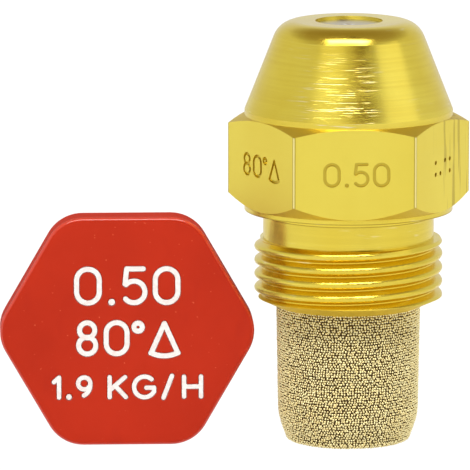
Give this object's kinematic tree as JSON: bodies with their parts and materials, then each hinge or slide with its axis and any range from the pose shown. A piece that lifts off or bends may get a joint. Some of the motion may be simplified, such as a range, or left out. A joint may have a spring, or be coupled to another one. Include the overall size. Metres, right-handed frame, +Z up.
{
  "type": "oil burner nozzle",
  "caption": "Brass oil burner spray nozzle with hexagon, adapter thread and sintered filter, beside its taken-off red hexagonal storage cap.",
  "frame": {"origin": "on the nozzle's axis at the closed end of the filter, on which the nozzle stands", "axes": "+Z up the nozzle's axis towards the spray orifice; -Y is the front, square to one flat of the hexagon and to the cap's marked face; the cap stands on the -X side"},
  "size_m": [0.0356, 0.0158, 0.0322],
  "materials": {
    "body_brass": "turned and burnished",
    "screw_brass": "turned",
    "hard_steel": "ground",
    "sintered_bronze": "open grain, sintered",
    "cap_red": "moulded, satin",
    "mark_white": "printed in sunk strokes"
  },
  "bodies": {
    "nozzle": {"nozzle_body": "body_brass", "orifice_disc": "hard_steel"},
    "swirl": {"swirl_cone": "hard_steel"},
    "screw": {"retaining_screw": "screw_brass", "fine_strainer": "hard_steel"},
    "filter": {"filter_element": "sintered_bronze"},
    "cap": {"cap_shell": "cap_red", "cap_flow_mark": "mark_white", "cap_angle_mark": "mark_white", "cap_unit_mark": "mark_white"}
  },
  "joints": [
    {"name": "swirl_drop", "type": "slide", "parent": "nozzle", "child": "swirl", "axis": [0, 0, -1], "range_m": [0, 0.0045]},
    {"name": "screw_turn", "type": "hinge", "parent": "swirl", "child": "screw", "pos_m": [0, 0, 0.0262], "axis": [0, 0, -1], "range_deg": [0, 2160]},
    {"name": "filter_pull", "type": "slide", "parent": "nozzle", "child": "filter", "axis": [0, 0, -1], "range_m": [0, 0.012]},
    {"name": "cap_away", "type": "slide", "parent": "nozzle", "child": "cap", "axis": [-1, 0, 0], "range_m": [0, 0.03]}
  ],
  "couplings": [
    {"joint": "screw_turn", "follows": "swirl_drop", "rad_per_m": 8377.6}
  ]
}
